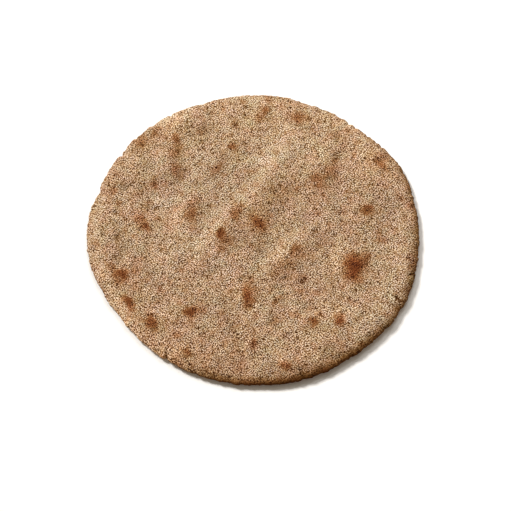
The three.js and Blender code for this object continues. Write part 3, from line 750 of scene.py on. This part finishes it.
def bread_object(surface, maps):
    """The mesh object. Of each pair of maps one is for the top and its edge, and one for the underside."""
    places, unrolled = np.vstack(surface.places), np.vstack(surface.unrolled)
    side, faces = np.concatenate(surface.side), np.array(surface.faces)
    under = np.zeros(len(places))
    under[surface.first_under_point:] = 1
    values = {
        name: np.where(under, at(lower, *unrolled.T), at(upper, *unrolled.T))
        for name, (upper, lower) in maps.items()
    }
    direction = np.degrees(np.arctan2(places[:, 1], places[:, 0]))
    # Brown and painted shade on the side of the edge, strongest where it faces away from the light.
    browned = side**BROWN_AND_SHADE_RISE * edge_brown_and_shade(direction)
    meal = meal_grain(faces, len(places)) * (1 - BROWN_AND_SHADE_ON_MEAL * browned)
    meal *= (1 - FLOUR_ON_MEAL * values["flour_and_highlight"]) * (1 - under)
    places += point_normals(places, faces) * (MEAL_HEIGHT * meal)[:, None]
    places[:, 2] = np.maximum(places[:, 2], 0)
    values.update(meal=meal, browned=browned, under=under)

    mesh = bpy.data.meshes.new("flatbread_surface")
    mesh.from_pydata((places * MM).tolist(), [], surface.faces)
    mesh.shade_smooth()
    for name, numbers in values.items():
        mesh.attributes.new(name, "FLOAT", "POINT").data.foreach_set("value", numbers.astype(np.float32))
    add_uv(mesh, unrolled, surface.first_under_face)
    bread = bpy.data.objects.new("flatbread_crust", mesh)
    bpy.context.scene.collection.objects.link(bread)
    return bread


def add_uv(mesh, unrolled, first_under_face):
    """Two discs: a large one for the top with its edge, and a small one for the underside."""
    corners = np.array([loop.vertex_index for loop in mesh.loops])
    is_under = np.arange(len(corners)) >= 3 * first_under_face
    reach = np.hypot(*unrolled.T).max()
    spot = np.where(is_under[:, None], UNDER_DISC[:2], TOP_DISC[:2])
    size = np.where(is_under, UNDER_DISC[2], TOP_DISC[2])[:, None]
    uv = spot + unrolled[corners] / reach * size
    mesh.uv_layers.new(name="OFBake").data.foreach_set("uv", uv.astype(np.float32).ravel())


# ---- Materials ----


class Nodes:
    """Short ways to make and join shader nodes."""

    def __init__(self, name):
        self.material = bpy.data.materials.new(name)
        self.material.use_nodes = True
        self.tree = self.material.node_tree
        self.shader = self.tree.nodes["Principled BSDF"]

    def make(self, kind, settings=None, **inputs):
        node = self.tree.nodes.new("ShaderNode" + kind)
        for name, value in (settings or {}).items():
            setattr(node, name, value)
        for name, value in inputs.items():
            self.give(node.inputs[name.replace("_", " ")], value)
        return node

    def give(self, socket, value):
        if isinstance(value, bpy.types.NodeSocket):
            self.tree.links.new(value, socket)
        else:
            socket.default_value = value

    def math(self, operation, *values):
        node = self.make("Math", {"operation": operation})
        for socket, value in zip(node.inputs, values):
            self.give(socket, value)
        return node.outputs[0]

    def weighted(self, *terms):
        """The sum of (socket, weight) pairs and plain numbers."""
        total = 0.0
        for term in terms:
            if isinstance(term, tuple):
                total = self.math("MULTIPLY_ADD", *term, total)
            else:
                total = self.math("ADD", total, term)
        return total

    def attribute(self, name):
        return self.make("Attribute", {"attribute_name": name}).outputs["Fac"]

    def summed(self, name, patterns):
        """One of the sums in the table, of the patterns that it names."""
        weights, base = SUMS[name]
        return self.weighted(*((patterns[part], weight) for part, weight in weights.items()), base)

    def clamped(self, value):
        return self.make("Clamp", Value=value).outputs[0]

    def noise(self, place, size, detail):
        """Noise from 0 to 1 with features of about that size in mm."""
        return self.make("TexNoise", Vector=place, Scale=1 / size, Detail=detail).outputs["Fac"]

    def cells(self, place, size):
        """Two random numbers from 0 to 1 for each cell of that size in mm."""
        node = self.make("TexVoronoi", Vector=place, Scale=1 / size)
        return self.make("SeparateColor", Color=node.outputs["Color"]).outputs[:2]

    def shifted(self, place, shift):
        node = self.make("VectorMath", {"operation": "ADD"})
        self.give(node.inputs[0], place)
        self.give(node.inputs[1], shift)
        return node.outputs[0]

    def chance_around(self, place, size, reach):
        """The mean of the cells' first number at four places round about."""
        shifts = ((reach, 0, 0), (-reach, 0, 0), (0, reach, 0), (0, -reach, 0))
        chances = [self.cells(self.shifted(place, shift), size)[0] for shift in shifts]
        return self.weighted(*((chance, 1 / len(chances)) for chance in chances))

    def multiplied(self, color, other):
        node = self.make("Mix", {"data_type": "RGBA", "blend_type": "MULTIPLY"}, Factor=1.0)
        for index, value in zip(MIX_INPUTS, (color, other)):
            self.give(node.inputs[index], value)
        return node.outputs[MIX_OUTPUT]

    def ramp(self, factor, stops):
        """stops are (position, linear colour) pairs."""
        node = self.make("ValToRGB", Fac=factor)
        elements = node.color_ramp.elements
        while len(elements) < len(stops):
            elements.new(0.5)
        for element, (position, color) in zip(elements, stops):
            element.position = position
            element.color = (*color, 1)
        return node.outputs["Color"]

    def darkening(self, factor, powers, depth):
        """White where the factor is 0, and dark where it is 1."""
        shares = [k / DARKENING_STEPS for k in range(DARKENING_STEPS + 1)]
        return self.ramp(factor, [(k, toned((1, 1, 1), powers, math.exp(-depth * k))) for k in shares])


def toned(color, powers, brightness):
    """A colour made lighter or darker. Each channel follows the brightness by its own power."""
    return [c * brightness**power for c, power in zip(color, powers)]


def crumb_patterns(n):
    """All that the crumb's looks are mixed from: chance patterns, and what the mesh says at each point."""
    place = n.make("VectorMath", {"operation": "SCALE"}, Scale=1 / MM)
    n.give(place.inputs[0], n.make("TexCoord").outputs["Object"])
    place = place.outputs[0]
    patterns = {name: n.attribute(name) for name in ATTRIBUTES}
    for name, (size, detail) in NOISES.items():
        patterns[name] = n.noise(place, size, detail)
    patterns["chance"], speck_chance = n.cells(place, GRAIN)
    patterns["around"] = n.chance_around(place, GRAIN, GRAIN_REACH)
    patterns["specks"] = n.math("LESS_THAN", speck_chance, FINE_SPECKS)
    under_chance = n.math("SUBTRACT", n.cells(place, UNDER_GRAIN)[0], 0.5)
    patterns["under_grain"] = n.math("MULTIPLY", under_chance, patterns["under"])
    return patterns


def crumb_color(n, patterns):
    """The colour of the crumb, with the patches' partly painted light and shade, before it is scorched and
    before the side of the edge is made brown with painted shade.
    """
    grain = n.math("MULTIPLY", n.summed("grain", patterns), n.clamped(n.summed("coarseness", patterns)))
    tone = n.summed("tone", {**patterns, "grain": grain})
    powers = [DARK_TONE if k < 1 else LIGHT_TONE for k in TONES]
    stops = [(k / TONES[-1], toned(CRUMB_COLOR, power, k)) for k, power in zip(TONES, powers)]
    color = n.ramp(n.math("DIVIDE", tone, TONES[-1]), stops)
    color = n.multiplied(color, n.ramp(n.summed("warmth", patterns), WARMTH))
    color = n.multiplied(color, n.ramp(n.summed("hue", patterns), HUE))
    # The patches' lightness: partly the crumb's own tone, partly painted light and shade.
    return n.multiplied(color, n.math("ADD", patterns["light"], 1.0))


def burnt_share(n, patterns):
    """How burnt a place is. Scorching takes hold of single grains before it closes up."""
    scorch = patterns["scorch"]
    half_scorched = n.math("MULTIPLY", scorch, n.math("SUBTRACT", 1.0, scorch))
    uneven = n.math("MULTIPLY", half_scorched, SCORCH_SPECKLE)
    return n.clamped(n.math("MULTIPLY_ADD", uneven, n.summed("speckle", patterns), scorch))


def crumb_material():
    n = Nodes("bread_crumb")
    patterns = crumb_patterns(n)
    patterns["burnt"] = burnt_share(n, patterns)
    scorched = n.darkening(patterns["burnt"], SCORCH_TONE, SCORCH_DEPTH)
    # The side of the edge made brown and darker: partly browning, partly painted shade.
    browned = n.darkening(patterns["browned"], BROWN_AND_SHADE_TONE, BROWN_AND_SHADE_DEPTH)
    color = n.multiplied(n.multiplied(crumb_color(n, patterns), scorched), browned)
    height = n.summed("height", patterns)
    bump = n.make("Bump", Strength=1.0, Distance=BUMP * MM, Height=height)
    n.give(n.shader.inputs["Base Color"], color)
    n.give(n.shader.inputs["Normal"], bump.outputs[0])
    n.give(n.shader.inputs["Roughness"], n.summed("roughness", patterns))
    n.shader.inputs["Specular IOR Level"].default_value = SHEEN_LEVEL
    return n.material


def floor_material():
    n = Nodes("white_floor")
    n.shader.inputs["Base Color"].default_value = (*FLOOR_COLOR, 1)
    n.shader.inputs["Roughness"].default_value = FLOOR_ROUGHNESS
    return n.material


# ---- The scene around it ----


def add_floor():
    half = FLOOR_SIZE / 2
    corners = [(x, y, -FLOOR_GAP) for x, y in ((-half, -half), (half, -half), (half, half), (-half, half))]
    mesh = bpy.data.meshes.new("floor")
    mesh.from_pydata((np.array(corners) * MM).tolist(), [], [(0, 1, 2, 3)])
    mesh.materials.append(floor_material())
    floor = bpy.data.objects.new("floor", mesh)
    bpy.context.scene.collection.objects.link(floor)
    floor.visible_diffuse = False  # so that it throws no light on the edge


def add_light(name, kind, azimuth, elevation, distance, **settings):
    light = bpy.data.lights.new(name, kind)
    for setting, value in settings.items():
        setattr(light, setting, value)
    lamp = bpy.data.objects.new(name, light)
    lamp.rotation_euler = (math.radians(90 - elevation), 0, math.radians(azimuth + 90))
    lamp.location = lamp.rotation_euler.to_matrix() @ Vector((0, 0, distance * MM))
    bpy.context.scene.collection.objects.link(lamp)


def add_lights():
    softness = math.radians(KEY_SOFTNESS)
    add_light(
        "key", "SUN", KEY_AZIMUTH, KEY_ELEVATION, 0,
        energy=KEY_STRENGTH, angle=softness, color=KEY_COLOR,
    )
    energy = BACK_STRENGTH * math.pi * (BACK_DISTANCE * MM) ** 2
    add_light(
        "back", "AREA", BACK_AZIMUTH, BACK_ELEVATION, BACK_DISTANCE,
        shape="DISK", size=BACK_SIZE * MM, energy=energy,
    )


def add_world():
    world = bpy.data.worlds.new("studio")
    world.use_nodes = True
    background = world.node_tree.nodes["Background"]
    background.inputs["Color"].default_value = (*WORLD_COLOR, 1)
    background.inputs["Strength"].default_value = WORLD_STRENGTH
    bpy.context.scene.world = world


def add_camera():
    data = bpy.data.cameras.new("camera")
    data.sensor_width = SENSOR
    data.lens = LENS
    data.clip_start = CLIP_START * MM
    camera = bpy.data.objects.new("camera", data)
    camera.location = Vector(CAMERA_PLACE) * MM
    camera.rotation_euler = (math.radians(90 - CAMERA_ELEVATION), 0, 0)
    bpy.context.scene.collection.objects.link(camera)
    bpy.context.scene.camera = camera


def relief_maps():
    """The relief with its holes, the holes alone as depths, and the flour bands, which also carry painted
    highlights.
    """
    relief = sum(height * noise(length) for length, height in UNDULATION)
    # Bands of flour, made paler partly as painted highlight where the folds and rim face the light.
    flour_and_highlight = bands(FLOUR_AND_HIGHLIGHT)
    pits = [pit for row in PITS for pit in random_pits(*row)]
    pitted = dents(pits, PIT_REACH, PIT_FADE) * (1 - FLOUR_ON_HOLES * flour_and_highlight)
    holes = np.maximum.reduce([pitted, cracks(), dents(DENTS, DENT_REACH, DENT_FADE)])
    return relief * (1 - FLOUR_ON_RELIEF * flour_and_highlight) - HOLE_DEPTH * holes, holes, flour_and_highlight


def scorch_maps():
    """The scorching of the top and of the underside."""
    under_marks = random_marks(*UNDER_MARKS)
    return [with_halo(marks(table)) for table in (SCORCHES, under_marks)]


def make_bread(node):
    outline = slow_outline(node.data)
    top, bottom = solid_heights(node.data, outline)
    relief, holes, flour_and_highlight = relief_maps()
    scorch, under_scorch = scorch_maps()
    light, grey, olive = patches(TONE_AND_SHADE_PATCHES)
    surface = surface_mesh(top, bottom, relief, edge_radii(outline))
    plain = np.zeros(MAP_X.shape)
    bread = bread_object(surface, {
        "scorch": (scorch, under_scorch),
        # The holes' depths darken the crumb: painted shade in the hollows, with some darker crumb.
        "pit": (holes, plain),
        "flour_and_highlight": (flour_and_highlight, plain),
        "light": (light, plain),
        "grey": (grey, plain),
        "olive": (olive, plain),
    })
    bread.data.materials.append(crumb_material())
    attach(bread, "root")
    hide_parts("flatbread")


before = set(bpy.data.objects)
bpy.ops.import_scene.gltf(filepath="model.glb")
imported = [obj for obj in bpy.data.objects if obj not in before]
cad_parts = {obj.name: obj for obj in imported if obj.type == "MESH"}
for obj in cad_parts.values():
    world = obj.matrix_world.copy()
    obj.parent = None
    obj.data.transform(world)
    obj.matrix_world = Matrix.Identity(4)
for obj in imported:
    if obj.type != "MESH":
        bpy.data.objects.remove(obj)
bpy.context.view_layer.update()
add_camera()
add_world()
add_lights()
add_floor()
make_bread(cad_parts["flatbread"])
bpy.context.scene.view_settings.view_transform = "Standard"
